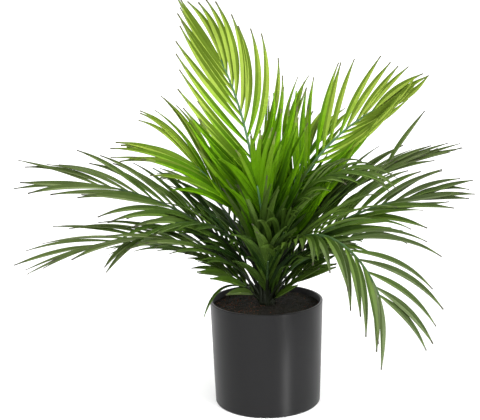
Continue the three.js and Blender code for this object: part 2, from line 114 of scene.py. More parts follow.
CROWN = (
    dict(name="tall_left", azimuth=140, rise=89, droop=31, bend=1.75, length=268, roll=-48,
         pairs=14, leaf=128, width=7.8, spread_base=47, spread_tip=13, tilt=-2, lift=8, curl=24, sweep=0.22,
         sag=0.05, tip_loss=0.3, stray=0.35, bare=0.22, seed=11, on_top=True, seat_turn=12, age="young"),
    dict(name="tall_right", azimuth=20, rise=88, droop=66, length=256, roll=60,
         pairs=16, leaf=108, width=7, spread_base=50, spread_tip=14, curl=26, sweep=0.2,
         sag=0, stray=0.5, bare=0.2, seed=12, on_top=True, age="young", plain_side=-1),
    dict(name="young_left", azimuth=172, rise=84, droop=44, length=165, roll=-32,
         pairs=10, leaf=124, width=8.2, spread_base=30, spread_tip=16, tilt=3, lift=8, curl=0, sweep=0.1,
         sag=0.5, stray=0.5, bare=0.57, seed=13, on_top=True, seat_turn=45, age="young", paler=0.12),
    dict(name="young_front", azimuth=250, rise=88, droop=24, bend=1.3, length=128, roll=55,
         pairs=10, leaf=92, width=7.5, spread_base=20, lift=12, curl=-6,
         bare=0.24, seed=31, on_top=True, seat_turn=26, age="young"),
    dict(name="young_back", azimuth=38, rise=89, droop=26, bend=1.5, length=178,
         pairs=9, leaf=98, width=7.5, spread_base=40, lift=8, curl=20, sag=0.1,
         bare=0.2, seed=41, on_top=True, seat_turn=52, age="young"),
    dict(name="wide_left", azimuth=190, rise=74, droop=62, bend=0.65, length=232, roll=-30,
         pairs=13, leaf=108, width=7.4, spread_base=34, spread_tip=14, lift=7, curl=10,
         sag=0.75, sag_tip=0.15, tip_loss=0.1, seed=14),
    dict(name="low_left", azimuth=200, rise=63, droop=74, bend=0.85, length=214, roll=-12,
         pairs=11, leaf=112, spread_base=32, lift=12, curl=12,
         sag=0.5, sag_tip=0.25, tip_loss=0.2, seed=15, seat_drop=10, seat_turn=8, paler=0.1),
    dict(name="hanging_left", azimuth=202, rise=84, droop=118, bend=1.05, length=198, roll=-15,
         pairs=8, leaf=64, width=6.5, spread_base=40, sag=0.6, bare=0.3, seed=52, seat_turn=22),
    dict(name="foot_left", azimuth=200, rise=50, droop=18, length=54, roll=-30,
         pairs=5, leaf=68, width=9, spread_base=44, spread_tip=20, lift=5, curl=12, sag=0.5,
         bare=0.2, seed=21, seat_drop=15, age="middle", paler=0.42),
    dict(name="wide_right", azimuth=12, rise=84, droop=72, bend=0.65, length=226, roll=12,
         pairs=13, leaf=100, width=7.2, spread_base=26, spread_tip=10, sag_tip=0.1, seed=16,
         lone=dict(along=0.86, side=1, spread=42, lift=80, length=84, curl=36, sag=0, sweep=0)),
    dict(name="low_right", azimuth=352, rise=77, droop=68, bend=0.62, length=208, roll=40,
         pairs=12, leaf=96, sag=0.65, sag_tip=0.2, seed=17, seat_drop=8, seat_turn=-6, age="middle"),
    dict(name="hanging_right", azimuth=305, rise=88, droop=146, bend=0.95, length=245, roll=20,
         pairs=12, leaf=110, spread_tip=24, tilt=12, lift=5, curl=0, sweep=-0.35, sag=0.5,
         tip_loss=0.32, stray=0.4, bare=0.2, seed=18, seat_drop=12, seat_turn=14, age="middle"),
    dict(name="inner_right", azimuth=345, rise=80, droop=85, bend=2.2, length=185, roll=20,
         pairs=11, leaf=72, width=6.5, spread_base=36, curl=6, sag=0.9, stray=0.8, bare=0.3, seed=36,
         on_top=True, seat_turn=-25),
    dict(name="foot_right", azimuth=338, rise=48, droop=12, length=54, roll=30,
         pairs=5, leaf=68, width=9, spread_base=40, spread_tip=14, lift=5, curl=12,
         bare=0.06, seed=22, seat_drop=15, seat_turn=4, age="middle", paler=0.38),
    dict(name="front_right", azimuth=308, rise=84, droop=28, length=80, roll=10,
         pairs=7, leaf=92, width=7.5, spread_base=18, spread_tip=6, lift=8, curl=-26, sag=0.5,
         bare=0.08, seed=32, seat_turn=-14, paler=0.2),
    dict(name="front_left", azimuth=250, rise=85, droop=12, length=66, roll=-10,
         pairs=7, leaf=104, width=8, spread_base=16, spread_tip=6, lift=8, curl=-10, sag=0.2,
         bare=0.08, seed=33, seat_turn=8, paler=0.2),
    dict(name="front_low", azimuth=272, rise=70, droop=16, length=54,
         pairs=6, leaf=86, width=7.5, spread_base=18, spread_tip=8, curl=-10, sag=0.4,
         bare=0.08, seed=34, seat_drop=9, seat_turn=4, paler=0.2),
    dict(name="front_side", azimuth=318, rise=62, droop=40, bend=1.1, length=98, roll=12,
         pairs=8, leaf=76, width=6, spread_base=22, spread_tip=8, lift=12, curl=0, sag=0.6,
         bare=0.1, seed=35, seat_drop=15, seat_turn=-28, paler=0.2),
    dict(name="middle_back", azimuth=52, rise=78, droop=46, bend=1.1, length=200,
         pairs=8, leaf=98, width=7.5, lift=8, curl=20, sag=0.2, seed=47, seat_turn=33, age="young"),
    dict(name="back_right", azimuth=60, rise=66, droop=64, length=205,
         pairs=10, leaf=92, lift=12, curl=18, sag=0.4, seed=42, seat_drop=6),
    dict(name="back_left", azimuth=125, rise=66, droop=64, length=205,
         pairs=9, leaf=92, lift=12, curl=18, sag=0.4, seed=43, seat_drop=6),
    dict(name="back_middle", azimuth=92, rise=52, droop=66, length=200,
         pairs=9, leaf=92, lift=12, curl=18, sag=0.5, seed=44, seat_drop=11),
    dict(name="back_low_left", azimuth=155, rise=44, droop=50, length=160,
         pairs=8, leaf=84, lift=12, curl=18, sag=0.5, seed=45, seat_drop=14, age="middle"),
    dict(name="back_low_right", azimuth=32, rise=46, droop=52, length=160,
         pairs=8, leaf=84, lift=12, curl=18, sag=0.5, seed=46, seat_drop=14, age="middle"),
    dict(name="trailing_left", azimuth=196, rise=24, droop=10, length=26, sides=(1,),
         pairs=1, leaf=84, width=6, spread_base=10, lift=0, curl=0, sag=2.4,
         bare=0.85, seed=51, seat_drop=6, seat_turn=-38, age="middle"),
)


class Seeded:
    """A small repeatable number source, so the same plant grows every time."""

    MULTIPLIER = 1664525
    INCREMENT = 1013904223
    RANGE = 2 ** 32

    def __init__(self, seed):
        self.state = seed

    def between(self, low, high):
        self.state = (self.state * self.MULTIPLIER + self.INCREMENT) % self.RANGE
        return low + (high - low) * (self.state / self.RANGE)

    def within(self, most):
        """A number at most that far from 0, to either side."""
        return self.between(-most, most)


def heading(azimuth, elevation):
    """Direction of unit length from its angle round the pot and its slope."""
    round_pot = math.radians(azimuth)
    slope = math.radians(elevation)
    level = math.cos(slope)
    return Vector((math.cos(round_pot) * level, math.sin(round_pot) * level, math.sin(slope)))


def rib_direction(frond, along):
    """The rib leaves its seat on the stem and bends over more and more along its length."""
    return heading(frond["azimuth"], frond["rise"] - frond["droop"] * along ** frond["bend"])


def rib_line(frond):
    """Points along the middle of a rib, from its seat on the stem to its tip."""
    on_top = frond["on_top"]
    seat_radius = SEAT_TOP_RADIUS if on_top else SEAT_SIDE_RADIUS
    start = heading(frond["azimuth"] + frond["seat_turn"], 0) * seat_radius
    start.z = stem_high.z / MM - (SEAT_TOP_DEPTH if on_top else frond["seat_drop"])
    points = [start]
    for step in range(RIB_STEPS):
        reach = rib_direction(frond, (step + 0.5) / RIB_STEPS) * (frond["length"] / RIB_STEPS)
        points.append(points[-1] + reach)
    return points


def rib_frame(frond, line, along):
    """The point on the rib, the rib's direction, the way across and the upper side."""
    place = min(max(along, 0), 1) * RIB_STEPS
    step = min(math.floor(place), RIB_STEPS - 1)
    point = line[step].lerp(line[step + 1], place - step)
    forward = rib_direction(frond, along)
    level = heading(frond["azimuth"] + 90, 0)
    above = forward.cross(level)
    roll = math.radians(frond["roll"])
    across = level * math.cos(roll) + above * math.sin(roll)
    normal = above * math.cos(roll) - level * math.sin(roll)
    return dict(point=point, forward=forward, across=across, normal=normal)


def leaflets_of(frond, line):
    """The leaflets of one frond, in pairs from the bare foot of the rib to its tip."""
    chance = Seeded(frond["seed"])
    stray = frond["stray"]
    tip_sag = frond["sag"] if frond["sag_tip"] is None else frond["sag_tip"]
    leaflets = []
    for pair in range(frond["pairs"]):
        for side in frond["sides"]:
            rank = pair / max(1, frond["pairs"] - 1)
            stagger = STAGGER * side + chance.within(STAGGER_LUCK)
            along = min(frond["bare"] + (1 - frond["bare"]) * rank ** CROWDING + stagger, LAST_PLACE)
            narrowing = (frond["spread_tip"] - frond["spread_base"]) * rank ** NARROWING
            usual_spread = frond["spread_base"] + narrowing + frond["tilt"] * side
            spread = usual_spread + stray * chance.within(SPREAD_LUCK)
            lift = frond["lift"] + stray * chance.within(LIFT_LUCK)
            foot = min(1, LOWEST_LENGTH + LENGTH_GAIN * rank)
            end = 1 - frond["tip_loss"] * max(0, 2 * rank - 1) ** TIP_LOSS_CURVE
            length = frond["leaf"] * foot * end * chance.between(*LENGTH_LUCK)
            curl = frond["curl"] + stray * chance.within(CURL_LUCK)
            sag = frond["sag"] + (tip_sag - frond["sag"]) * rank + stray * chance.between(*SAG_LUCK)
            sweep = frond["sweep"] + stray * chance.within(SWEEP_LUCK)
            leaflets.append(dict(
                frame=rib_frame(frond, line, along), along=along, side=side, spread=spread, lift=lift,
                length=length, curl=curl, sag=sag, sweep=sweep,
            ))
    if frond["lone"]:
        leaflets.append(dict(frame=rib_frame(frond, line, frond["lone"]["along"]), **frond["lone"]))
    return leaflets


AVERAGED = ("along", "spread", "lift", "length", "curl", "sag", "sweep")


def infill_of(frond, line, leaflets, crown):
    """Shorter leaflets between those of the rib's inner part, which the solids have no room for."""
    grown = []
    if frond["length"] * MM < crown.infill_least:
        return grown
    for first, second in zip(leaflets, leaflets[len(frond["sides"]):]):
        between = {name: (first[name] + second[name]) / 2 for name in AVERAGED}
        if between["along"] > crown.infill_reach:
            break
        between["length"] *= crown.infill_length
        grown.append(dict(frame=rib_frame(frond, line, between["along"]), side=first["side"], **between))
    return grown


def leaflet_line(leaflet, steps):
    """The middle line of a leaflet, which curls in towards the rib and sags under its weight."""
    place = leaflet["frame"]
    lift = math.radians(leaflet["lift"])
    rise = abs(math.sin(math.radians(leaflet["spread"]))) * math.sin(lift)
    points = [place["point"].copy()]
    for step in range(steps):
        middle = (step + 0.5) / steps
        angle = math.radians(leaflet["spread"] - leaflet["curl"] * middle)
        sideways = leaflet["side"] * math.sin(angle) * math.cos(lift) + leaflet["sweep"] * middle
        direction = place["forward"] * math.cos(angle) + place["across"] * sideways + place["normal"] * rise
        direction.z -= leaflet["sag"] * middle ** SAG_CURVE
        points.append(points[-1] + direction.normalized() * (leaflet["length"] / steps))
    return points


# Settings

class PotSettings(bpy.types.PropertyGroup):
    """Sizes and finish of the pot."""

    sides: IntProperty(name="Sides", description="Facets round the pot", default=288, min=48)
    base_share: FloatProperty(
        name="Base share", description="Radius at the base as a share of the rim's",
        default=61 / 65, subtype="FACTOR")
    wall: FloatProperty(name="Wall", description="Thickness of the wall", default=0.003, unit="LENGTH")
    floor: FloatProperty(name="Floor", description="Thickness of the floor", default=0.004, unit="LENGTH")
    foot_round: FloatProperty(
        name="Foot round", description="Radius of the rounded edge at the foot",
        default=0.0024, unit="LENGTH")
    rim_round: FloatProperty(
        name="Rim round", description="Radius of the rounded edges at the rim",
        default=0.0007, unit="LENGTH")
    arc_steps: IntProperty(name="Arc steps", description="Steps in each rounded edge", default=6, min=2)
    colour: FloatVectorProperty(
        name="Colour", description="Colour of the plastic", subtype="COLOR", default=srgb(17, 17, 18))
    roughness: FloatProperty(name="Roughness", description="Satin finish", default=0.42, subtype="FACTOR")
    gloss: FloatProperty(name="Gloss", description="Strength of the sheen", default=0.23, subtype="FACTOR")
    brushing: FloatProperty(
        name="Brushing", description="How far reflections are drawn out upwards and downwards",
        default=0.9, subtype="FACTOR")


class FillingSettings(bpy.types.PropertyGroup):
    """Sizes and colours of the grains in the pot."""

    rings: IntProperty(name="Rings", description="Rings of the bed's mesh", default=70, min=8)
    spokes: IntProperty(name="Spokes", description="Spokes of the bed's mesh", default=240, min=24)
    edge_depth: FloatProperty(
        name="Edge depth", description="How far the bed's edge lies under the rim",
        default=0.0065, unit="LENGTH")
    relief: FloatProperty(
        name="Relief", description="Height of the bed's lumps", default=0.0007, unit="LENGTH")
    grains: IntProperty(name="Grains", description="Number of loose grains", default=3400, min=0)
    grain_small: FloatProperty(
        name="Smallest grain", description="Radius of the smallest grain", default=0.0003, unit="LENGTH")
    grain_large: FloatProperty(
        name="Largest grain", description="Radius of the largest grain", default=0.00085, unit="LENGTH")
    seed: IntProperty(name="Seed", description="Start of the grains' number source", default=71)
    bed_colour: FloatVectorProperty(
        name="Bed colour", description="Colour between the grains", subtype="COLOR",
        default=srgb(22, 20, 14))
    dark_grains: FloatVectorProperty(
        name="Dark grains", description="Colour of most grains", subtype="COLOR",
        default=srgb(24, 23, 16))
    brown_grains: FloatVectorProperty(
        name="Brown grains", description="Colour of some grains", subtype="COLOR",
        default=srgb(48, 40, 27))
    reddish_grains: FloatVectorProperty(
        name="Reddish grains", description="Colour of the fewest grains", subtype="COLOR",
        default=srgb(96, 56, 36))
    roughness: FloatProperty(name="Roughness", description="Dull finish", default=0.92, subtype="FACTOR")


class StemSettings(bpy.types.PropertyGroup):
    """Sizes and colours of the stem and of the stalks that rise from it."""

    sides: IntProperty(name="Sides", description="Facets round the stem", default=96, min=12)
    rows: IntProperty(name="Rows", description="Rows up the stem", default=24, min=4)
    ridges: IntProperty(name="Ridges", description="Sheath edges round the stem", default=7, min=1)
    ridge_depth: FloatProperty(
        name="Ridge depth", description="Depth of the sheath edges", default=0.0009, unit="LENGTH")
    colour: FloatVectorProperty(
        name="Colour", description="Colour of the stem", subtype="COLOR", default=srgb(20, 22, 12))
    roughness: FloatProperty(name="Roughness", description="Dull plastic", default=0.6, subtype="FACTOR")


class CrownSettings(bpy.types.PropertyGroup):
    """Sizes of the ribs and leaflets."""

    rib_sides: IntProperty(name="Rib sides", description="Facets round a rib", default=12, min=6)
    rib_base: FloatProperty(
        name="Rib foot", description="Radius of a rib at its foot", default=0.0023, unit="LENGTH")
    rib_tip: FloatProperty(
        name="Rib tip", description="Radius of a rib at its tip", default=0.0011, unit="LENGTH")
    rib_channel: FloatProperty(
        name="Rib channel", description="How far the upper side of a rib is pressed in",
        default=0.35, subtype="FACTOR")
    stalk_steps: IntProperty(
        name="Stalk steps", description="Steps from a rib's seat down the stem", default=5, min=1)
    stalk_share: FloatProperty(
        name="Stalk share", description="How far out on a rib it has the dark colour of the stalks",
        default=0.45, subtype="FACTOR")
    infill_reach: FloatProperty(
        name="Infill reach", description="How far out on a rib shorter leaflets stand between the others",
        default=0.55, subtype="FACTOR")
    infill_least: FloatProperty(
        name="Infill least", description="Length of rib from which a frond has those",
        default=0.15, unit="LENGTH")
    infill_length: FloatProperty(
        name="Infill length", description="Length of those as a share of their neighbours'",
        default=0.75, subtype="FACTOR")
    stations: IntProperty(name="Stations", description="Rows along a leaflet", default=20, min=6)
    root_share: FloatProperty(
        name="Root share", description="Width at the root as a share of the full width",
        default=0.3, subtype="FACTOR")
    tip_share: FloatProperty(
        name="Tip share", description="Width at the tip as a share of the full width",
        default=0.22, subtype="FACTOR")
    widest: FloatProperty(
        name="Widest", description="Where along its length a leaflet is widest",
        default=0.42, subtype="FACTOR")
    fold: FloatProperty(
        name="Fold", description="Rise of the edges as a share of half the width",
        default=0.42, subtype="FACTOR")
    thickness: FloatProperty(
        name="Thickness", description="Thickness of a leaflet", default=0.00045, unit="LENGTH")
    keel: FloatProperty(
        name="Keel", description="How far the midrib stands out below", default=0.00035, unit="LENGTH")
    twist: FloatProperty(
        name="Twist", description="Most that a leaflet twists along its length",
        default=math.radians(32), subtype="ANGLE")
    roughness: FloatProperty(name="Roughness", description="Satin leaves", default=0.5, subtype="FACTOR")
    stalk: FloatVectorProperty(
        name="Stalk", description="Colour of the stalks at the stem", subtype="COLOR",
        default=srgb(20, 26, 11))
    # The blades' tones are painted shade, darkest round this place in the crown and paler out over the open
    # reach.
    shaded_heart: FloatVectorProperty(
        name="Heart", description="The darkest place of the crown", subtype="XYZ", unit="LENGTH",
        default=(0, 0, 0.185))
    heart_size: FloatProperty(
        name="Heart size", description="How far the darkest tone reaches", default=0.03, unit="LENGTH")
    open_reach: FloatProperty(
        name="Open reach", description="Way from there to the palest tone", default=0.17, unit="LENGTH")
    tone_luck: FloatProperty(
        name="Tone luck", description="Most that a leaflet's tone differs from its place's",
        default=0.22, subtype="FACTOR")


class StageSettings(bpy.types.PropertyGroup):
    """Camera, lights and floor."""

    lens: FloatProperty(name="Lens", description="Focal length", default=78, unit="CAMERA")
    camera_place: FloatVectorProperty(
        name="Camera", description="Where the camera stands", subtype="XYZ", unit="LENGTH",
        default=(-0.0282, -1.157, 0.457))
    camera_pitch: FloatProperty(
        name="Pitch", description="How far the camera looks down", subtype="ANGLE",
        default=math.radians(11.25))
    camera_roll: FloatProperty(
        name="Roll", description="How far the camera leans", subtype="ANGLE", default=math.radians(-1.2))
    sky: FloatProperty(name="Sky", description="Strength of the light from all round", default=1.3)
    key: FloatProperty(name="Key", description="Strength of the main light", default=1.2)
    strip: FloatProperty(
        name="Strip", description="Power of the tall narrow light", default=0.6, unit="POWER")
    key_place: FloatVectorProperty(
        name="Key place", description="Where the main light shines from", subtype="XYZ", unit="LENGTH",
        default=(-0.5, -1, 2))
    strip_place: FloatVectorProperty(
        name="Strip place", description="Where the tall narrow light stands", subtype="XYZ",
        unit="LENGTH", default=(0.69, -0.9, 0.42))
    floor_size: FloatProperty(
        name="Floor size", description="Radius of the floor", default=200, unit="LENGTH")
    floor_glow: FloatProperty(
        name="Floor glow", description="Lifts the floor's faint shadows to white", default=0.05)
    floor_colour: FloatVectorProperty(
        name="Floor colour", description="Colour of the floor", subtype="COLOR", default=(1, 1, 1))


class PalmSettings(bpy.types.PropertyGroup):
    """All settings of the palm."""

    pot: PointerProperty(type=PotSettings)
    filling: PointerProperty(type=FillingSettings)
    stem: PointerProperty(type=StemSettings)
    crown: PointerProperty(type=CrownSettings)
    stage: PointerProperty(type=StageSettings)


# Meshes

# Radius of the smallest ring of a turned piece, round its axis
AXIS_RADIUS = 0.0001


def first_finish(row, column):
    """Finish all over a piece that has only one."""
    return 0


def no_place(row, column):
    """Place on the blade for a piece that has no blade."""
    return (0, 0)


class Draft:
    """Corners, faces, finishes and places on the blade, gathered for one mesh in metres."""

    def __init__(self):
        self.corners = []
        self.faces = []
        self.finishes = []
        self.places = []

    def add_skin(self, rings, finish_of=first_finish, place_of=no_place):
        """Closed skin over rings that run counter-clockwise as seen from the last one."""
        start = len(self.corners)
        sides = len(rings[0])
        for row, ring in enumerate(rings):
            self.corners.extend(ring)
            for column in range(sides):
                self.places.append(place_of(row, column))
        for row in range(len(rings) - 1):
            for column in range(sides):
                here = start + row * sides + column
                beside = start + row * sides + (column + 1) % sides
                self.faces.append((here, beside, beside + sides, here + sides))
                self.finishes.append(finish_of(row, column))
        last = start + (len(rings) - 1) * sides
        self.faces.append(tuple(range(start + sides - 1, start - 1, -1)))
        self.finishes.append(finish_of(0, 0))
        self.faces.append(tuple(range(last, last + sides)))
        self.finishes.append(finish_of(len(rings) - 2, 0))

    def to_object(self, name, materials, sharp=None):
        """The mesh as a smooth object, with hard edges from the angle sharp where one is given."""
        mesh = bpy.data.meshes.new(name)
        mesh.from_pydata(self.corners, [], self.faces)
        for material in materials:
            mesh.materials.append(material)
        mesh.polygons.foreach_set("material_index", self.finishes)
        layer = mesh.uv_layers.new(name="blade")
        for loop in mesh.loops:
            layer.data[loop.index].uv = self.places[loop.vertex_index]
        mesh.shade_smooth()
        if sharp is not None:
            mesh.set_sharp_from_angle(angle=sharp)
        made = bpy.data.objects.new(name, mesh)
        bpy.context.scene.collection.objects.link(made)
        return made


def arc(centre_radius, centre_height, radius, start, end, steps):
    """Points of a rounded edge, as radius and height, with the angles in degrees."""
    points = []
    for step in range(steps + 1):
        angle = math.radians(start + (end - start) * step / steps)
        points.append((centre_radius + radius * math.cos(angle), centre_height + radius * math.sin(angle)))
    return points


def round_point(radius, angle, height):
    """Corner at an angle round the pot's axis."""
    return Vector((radius * math.cos(angle), radius * math.sin(angle), height))


def round_ring(radius, height, sides):
    """Corners of one ring round the pot's axis."""
    return [round_point(radius, 2 * math.pi * side / sides, height) for side in range(sides)]


def settle(piece, slot, *nodes):
    """The piece rides on the one body and stands for the nodes, which are hidden; its slot is not used."""
    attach(piece, "root")
    if nodes:
        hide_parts(*nodes)


# Finishes

def add_node(tree, kind, **values):
    made = tree.nodes.new(kind)
    for name, value in values.items():
        setattr(made, name, value)
    return made


def new_group(name, inputs, outputs):
    """An empty shader node group with named number and colour sockets, and its two end nodes."""
    tree = bpy.data.node_groups.new(name, "ShaderNodeTree")
    for socket, kind, default in inputs:
        made = tree.interface.new_socket(socket, in_out="INPUT", socket_type=kind)
        made.default_value = default
    for socket, kind in outputs:
        tree.interface.new_socket(socket, in_out="OUTPUT", socket_type=kind)
    return tree, tree.nodes.new("NodeGroupInput"), tree.nodes.new("NodeGroupOutput")


def feed(tree, value, socket):
    """Puts a number on a socket, or links another node's output to it."""
    if isinstance(value, (int, float)):
        socket.default_value = value
    else:
        tree.links.new(value, socket)


def noise_node(tree, coordinates, scale, detail):
    made = add_node(tree, "ShaderNodeTexNoise")
    feed(tree, coordinates, made.inputs["Vector"])
    feed(tree, scale, made.inputs["Scale"])
    feed(tree, detail, made.inputs["Detail"])
    return made.outputs["Fac"]


def math_node(tree, operation, first, second=0):
    made = add_node(tree, "ShaderNodeMath", operation=operation)
    feed(tree, first, made.inputs[0])
    feed(tree, second, made.inputs[1])
    return made.outputs["Value"]


# Noise stays near its middle, so the drift of a tone is widened
NOISE_MIDDLE = 0.5
DRIFT_GAIN = 2.5


def tone_drift_group():
    """Colour that drifts a little lighter and darker over a piece."""
    found = bpy.data.node_groups.get("Tone drift")
    if found:
        return found
    tree, start, end = new_group(
        "Tone drift",
        (("Colour", "NodeSocketColor", (0.5, 0.5, 0.5, 1)), ("Amount", "NodeSocketFloat", 0.2),
         ("Scale", "NodeSocketFloat", 30)),
        (("Colour", "NodeSocketColor"),),
    )
    place = add_node(tree, "ShaderNodeTexCoord")
    drift = noise_node(tree, place.outputs["Object"], start.outputs["Scale"], detail=3)
    centred = math_node(tree, "SUBTRACT", drift, NOISE_MIDDLE)
    widened = math_node(tree, "MULTIPLY", centred, DRIFT_GAIN)
    weighed = math_node(tree, "MULTIPLY", widened, start.outputs["Amount"])
    factor = math_node(tree, "ADD", weighed, 1)
    tinted = add_node(tree, "ShaderNodeVectorMath", operation="SCALE")
    tree.links.new(start.outputs["Colour"], tinted.inputs[0])
    tree.links.new(factor, tinted.inputs["Scale"])
    tree.links.new(tinted.outputs["Vector"], end.inputs["Colour"])
    return tree


def blade_relief_group():
    """Height of the fine veins that run along a leaflet."""
    found = bpy.data.node_groups.get("Blade relief")
    if found:
        return found
    tree, start, end = new_group(
        "Blade relief", (("Veins", "NodeSocketFloat", 9),), (("Height", "NodeSocketFloat"),))
    place = add_node(tree, "ShaderNodeUVMap", uv_map="blade")
    parts = add_node(tree, "ShaderNodeSeparateXYZ")
    tree.links.new(place.outputs["UV"], parts.inputs["Vector"])
    turns = math_node(tree, "MULTIPLY", parts.outputs["X"], start.outputs["Veins"])
    angle = math_node(tree, "MULTIPLY", turns, 2 * math.pi)
    wave = math_node(tree, "SINE", angle)
    tree.links.new(wave, end.inputs["Height"])
    return tree


# Smears in the gloss run up and down a piece
SMEAR_STRETCH = (1, 1, 0.12)


def moulded_grain_group():
    """Fine grain of moulded plastic: a height and a slightly uneven gloss."""
    found = bpy.data.node_groups.get("Moulded grain")
    if found:
        return found
    tree, start, end = new_group(
        "Moulded grain",
        (("Grain scale", "NodeSocketFloat", 1800), ("Roughness", "NodeSocketFloat", 0.4),
         ("Unevenness", "NodeSocketFloat", 0.08)),
        (("Height", "NodeSocketFloat"), ("Roughness", "NodeSocketFloat")),
    )
    place = add_node(tree, "ShaderNodeTexCoord")
    grain = noise_node(tree, place.outputs["Object"], start.outputs["Grain scale"], detail=2)
    tree.links.new(grain, end.inputs["Height"])
    stretched = add_node(tree, "ShaderNodeMapping")
    stretched.inputs["Scale"].default_value = SMEAR_STRETCH
    tree.links.new(place.outputs["Object"], stretched.inputs["Vector"])
    smears = noise_node(tree, stretched.outputs["Vector"], scale=90, detail=4)
    centred = math_node(tree, "SUBTRACT", smears, NOISE_MIDDLE)
    weighed = math_node(tree, "MULTIPLY", centred, start.outputs["Unevenness"])
    uneven = math_node(tree, "ADD", weighed, start.outputs["Roughness"])
    tree.links.new(uneven, end.inputs["Roughness"])
    return tree


def use_group(tree, group, **values):
    """A group placed in a material's tree, with its inputs' values, an underscore for each space."""
    made = add_node(tree, "ShaderNodeGroup", node_tree=group)
    for name, value in values.items():
        made.inputs[name.replace("_", " ")].default_value = value
    return made


def new_material(name):
    """A material with only its Principled shader and output, and its node tree."""
    material = bpy.data.materials.new(name)
    material.use_nodes = True
    tree = material.node_tree
    return material, tree, tree.nodes["Principled BSDF"]


def add_bump(tree, shader, height, distance, strength):
    bump = add_node(tree, "ShaderNodeBump")
    bump.inputs["Distance"].default_value = distance
    bump.inputs["Strength"].default_value = strength
    tree.links.new(height, bump.inputs["Height"])
    tree.links.new(bump.outputs["Normal"], shader.inputs["Normal"])


def toned_material(name, colour, gloss, drift, drift_scale, **grain_values):
    """A material with a drifting colour and uneven gloss, its tree, its shader and its grain's height."""
    material, tree, shader = new_material(name)
    tone = use_group(tree, tone_drift_group(), Colour=(*colour, 1), Amount=drift, Scale=drift_scale)
    tree.links.new(tone.outputs["Colour"], shader.inputs["Base Color"])
    grain = use_group(tree, moulded_grain_group(), **grain_values)
    tree.links.new(grain.outputs["Roughness"], shader.inputs["Roughness"])
    shader.inputs["Specular IOR Level"].default_value = gloss
    return material, tree, shader, grain.outputs["Height"]


def leaf_material(name, colour, roughness, gloss):
    """Moulded leaf with fine veins along it."""
    material, tree, shader, _ = toned_material(
        name, colour, gloss, drift=0.3, drift_scale=28, Roughness=roughness, Unevenness=0.25)
    relief = use_group(tree, blade_relief_group())
    add_bump(tree, shader, relief.outputs["Height"], distance=0.00012, strength=0.5)
    return material


# Quarter turn by which the brushing of plastic stands upright
UPRIGHT_BRUSHING = 0.25


def plastic_material(name, colour, roughness, gloss, drift=0.06, brushing=0):
    """Dull or satin plastic. brushing draws its reflections out upwards and downwards."""
    material, tree, shader, height = toned_material(
        name, colour, gloss, drift, drift_scale=60, Roughness=roughness)
    add_bump(tree, shader, height, distance=0.00005, strength=0.3)
    shader.inputs["Anisotropic"].default_value = brushing
    shader.inputs["Anisotropic Rotation"].default_value = UPRIGHT_BRUSHING
    return material


def grain_material(name, colour, roughness):
    """Rough, mottled grain."""
    material, tree, shader, height = toned_material(
        name, colour, gloss=0.2, drift=0.7, drift_scale=400, Grain_scale=2500, Roughness=roughness)
    add_bump(tree, shader, height, distance=0.0003, strength=0.8)
    return material


# Leaf colours by age: blades in the heart of the crown, half way out and in the open, darker inwards as
# painted shade, and the other parts
LEAF_COLOURS = dict(
    young=dict(
        shaded_heart=srgb(44, 78, 2), half_shaded=srgb(82, 126, 4), open=srgb(116, 138, 47),
        neck=srgb(104, 122, 57), tip=srgb(90, 93, 62), rib=srgb(60, 96, 58),
    ),
    middle=dict(
        shaded_heart=srgb(30, 53, 6), half_shaded=srgb(73, 98, 27), open=srgb(75, 89, 51),
        neck=srgb(78, 92, 50), tip=srgb(72, 72, 56), rib=srgb(48, 74, 34),
    ),
    old=dict(
        shaded_heart=srgb(24, 47, 5), half_shaded=srgb(69, 94, 28), open=srgb(98, 113, 64),
        neck=srgb(74, 86, 48), tip=srgb(68, 68, 54), rib=srgb(42, 64, 30),
    ),
)
SLOT_OF_AGE = dict(young="leaf_young", middle="leaf_middle", old="leaf_old")
GLOSS_OF_AGE = dict(young=0.05, middle=0.12, old=0.12)
# Number of blade tones, which run from the deepest painted shade to the palest, and the first of the pale
# ones, whose blades end in a grey neck and tip
TONES = 14
FIRST_OPEN_TONE = 9
# Finishes of each tone: the half of the blade that faces up more, lighter as painted light, the other half,
# darker as painted shade, and the underside
LIT_HALF, SHADED_HALF, UNDERSIDE = range(3)
HALF_TINTS = ((1.32, 1.26, 1.5), (0.58, 0.64, 0.47), (0.8, 0.8, 0.85))
NECK_FINISH = TONES * len(HALF_TINTS)
TIP_FINISH = NECK_FINISH + 1


def mixed(first, second, share):
    return tuple(start + (end - start) * share for start, end in zip(first, second))


def blade_tone(age, number):
    """One of the blade tones, which run from painted shade at the heart of the crown to the palest out in
    the open.
    """
    colours = LEAF_COLOURS[age]
    place = 2 * number / (TONES - 1)
    if place < 1:
        return mixed(colours["shaded_heart"], colours["half_shaded"], place)
    return mixed(colours["half_shaded"], colours["open"], place - 1)


def leaf_materials(age, roughness):
    """The materials of one age of leaf: three for each blade tone, then the neck's and the tip's."""
    colours = LEAF_COLOURS[age]
    wanted = []
    for number in range(TONES):
        for half, tint in enumerate(HALF_TINTS):
            tone = tuple(value * share for value, share in zip(blade_tone(age, number), tint))
            wanted.append((f"{age}_blade_{number}_{half}", tone))
    wanted += [(f"{age}_{part}", colours[part]) for part in ("neck", "tip")]
    materials = []
    for name, colour in wanted:
        made = bpy.data.materials.get(name) or leaf_material(name, colour, roughness, GLOSS_OF_AGE[age])
        materials.append(made)
    return materials


def tone_number(point, crown, luck):
    """Number of the tone for a place in the crown, painted shade that is darkest near the crown's heart, a
    little darker or paler for each leaflet by luck.
    """
    away = (point - Vector(crown.shaded_heart) / MM).length * MM
    openness = (away - crown.heart_size) / crown.open_reach + luck
    return min(max(math.floor(openness * TONES), 0), TONES - 1)


# Leaflets and ribs

# Where the corners of a blade's section lie across it, from one edge to the other
SECTION = (1, 0.55, 0.12, 0, -0.12, -0.55, -1)
MIDDLE_CORNER = 3
